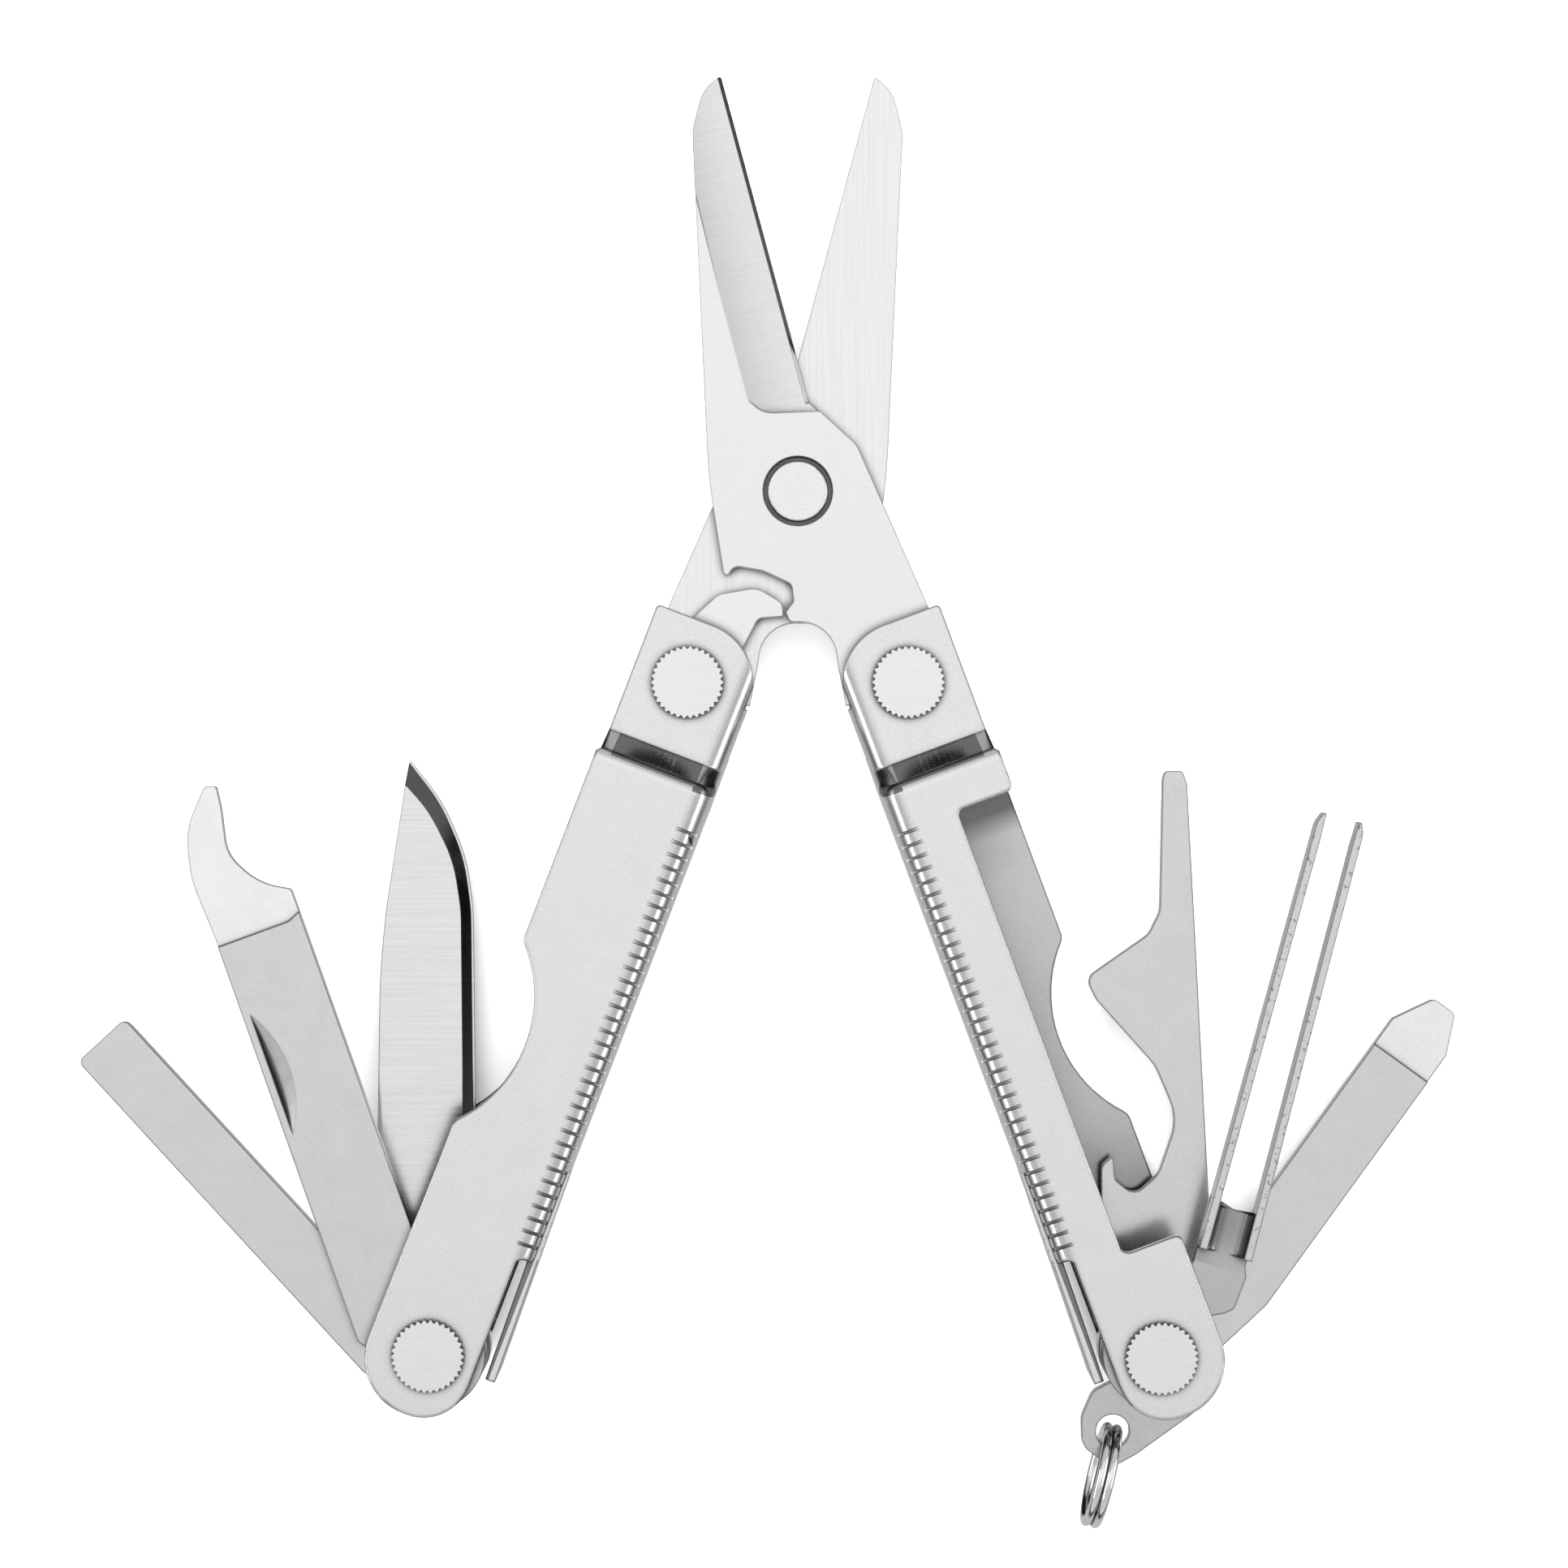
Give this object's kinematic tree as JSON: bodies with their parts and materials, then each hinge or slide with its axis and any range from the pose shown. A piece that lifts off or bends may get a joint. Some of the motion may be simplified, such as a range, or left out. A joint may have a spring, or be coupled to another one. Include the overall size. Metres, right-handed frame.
{
  "type": "scissor multi tool",
  "caption": "Pocket scissor multi tool with two folding butterfly handles that hold a knife, nail file, screwdrivers, bottle opener, tweezers and a key ring lever.",
  "frame": {"origin": "under the middle of the laid-out tool, at the level of the rear faces of the lower rivet heads", "axes": "+Y from the handles to the scissor tips, +Z through the thickness towards the front plates, +X to the right-hand handle"},
  "size_m": [0.1038, 0.1094, 0.0114],
  "materials": {
    "handle_steel": "tumbled satin stainless steel",
    "rivet_steel": "satin rivet head, toothed rim",
    "washer_steel": "plain turned steel",
    "scissor_steel": "satin body, hollow ground edge with fine grinding lines",
    "knife_steel": "ground blade with cross grinding lines and a bevelled edge",
    "spring_steel": "tumbled spring steel",
    "tool_steel": "tumbled stainless steel with faint mottling",
    "ring_steel": "bright plated wire"
  },
  "bodies": {
    "front_scissor": {"front_scissor_blade": "scissor_steel", "scissor_pivot": "rivet_steel"},
    "rear_scissor": {"rear_scissor_blade": "scissor_steel"},
    "spring_lever": {"scissor_spring_lever": "spring_steel"},
    "left_handle": {"left_handle_shell": "handle_steel", "scissor_leaf_spring": "spring_steel", "left_upper_rivet": "rivet_steel", "left_lower_rivet": "rivet_steel", "left_middle_spacer": "washer_steel", "knife_washer": "washer_steel"},
    "right_handle": {"right_handle_shell": "handle_steel", "right_upper_rivet": "rivet_steel", "right_lower_rivet": "rivet_steel", "right_upper_washer": "washer_steel", "right_middle_spacer": "washer_steel", "lanyard_washer": "washer_steel", "tweezers_washer": "washer_steel"},
    "knife_tool": {"knife": "knife_steel"},
    "nail_file_tool": {"nail_file": "tool_steel"},
    "flat_screwdriver_tool": {"flat_screwdriver": "tool_steel"},
    "bottle_opener_tool": {"bottle_opener": "tool_steel"},
    "tweezers_tool": {"tweezers": "tool_steel"},
    "cross_screwdriver_tool": {"cross_screwdriver": "tool_steel"},
    "lanyard": {"lanyard_lever": "tool_steel"},
    "ring": {"key_ring": "ring_steel"}
  },
  "joints": [
    {"name": "scissor_pivot", "type": "hinge", "parent": "front_scissor", "child": "rear_scissor", "pos_m": [0.00179, 0.0234, 0.0057], "axis": [0, 0, -1], "range_deg": [-25.8, 0]},
    {"name": "spring_lever_pivot", "type": "hinge", "parent": "rear_scissor", "child": "spring_lever", "pos_m": [-0.00649, 0.00898, 0.0066], "axis": [0, 0, 1], "range_deg": [0, 30.5]},
    {"name": "left_handle_fold", "type": "hinge", "parent": "rear_scissor", "child": "left_handle", "pos_m": [-0.00649, 0.00898, 0.0057], "axis": [0, 0, 1], "range_deg": [-164, 0]},
    {"name": "right_handle_fold", "type": "hinge", "parent": "front_scissor", "child": "right_handle", "pos_m": [0.01008, 0.00898, 0.0057], "axis": [0, 0, -1], "range_deg": [-164, 0]},
    {"name": "knife_fold", "type": "hinge", "parent": "left_handle", "child": "knife_tool", "pos_m": [-0.02575, -0.0412, 0.0028], "axis": [0, 0, 1], "range_deg": [-21.6, 158.4]},
    {"name": "nail_file_fold", "type": "hinge", "parent": "left_handle", "child": "nail_file_tool", "pos_m": [-0.02575, -0.0412, 0.0094], "axis": [0, 0, 1], "range_deg": [-40.6, 139.4]},
    {"name": "flat_screwdriver_fold", "type": "hinge", "parent": "left_handle", "child": "flat_screwdriver_tool", "pos_m": [-0.02575, -0.0412, 0.0082], "axis": [0, 0, 1], "range_deg": [-63.6, 116.4]},
    {"name": "bottle_opener_fold", "type": "hinge", "parent": "right_handle", "child": "bottle_opener_tool", "pos_m": [0.02885, -0.04138, 0.0032], "axis": [0, 0, -1], "range_deg": [-17.55, 162.45]},
    {"name": "tweezers_fold", "type": "hinge", "parent": "right_handle", "child": "tweezers_tool", "pos_m": [0.02885, -0.04138, 0.0079], "axis": [0, 0, -1], "range_deg": [-35.45, 144.55]},
    {"name": "cross_screwdriver_fold", "type": "hinge", "parent": "right_handle", "child": "cross_screwdriver_tool", "pos_m": [0.02885, -0.04138, 0.002], "axis": [0, 0, -1], "range_deg": [-56.35, 123.65]},
    {"name": "lanyard_lever_fold", "type": "hinge", "parent": "right_handle", "child": "lanyard", "pos_m": [0.02885, -0.04138, 0.0063], "axis": [0, 0, -1], "range_deg": [-55, 0]},
    {"name": "key_ring_swing", "type": "hinge", "parent": "lanyard", "child": "ring", "pos_m": [0.02509, -0.0491, 0.0063], "axis": [-0.9715, 0.2368, 0], "range_deg": [-40, 40]}
  ],
  "couplings": [
    {"joint": "spring_lever_pivot", "follows": "scissor_pivot", "ratio": -1.15}
  ]
}
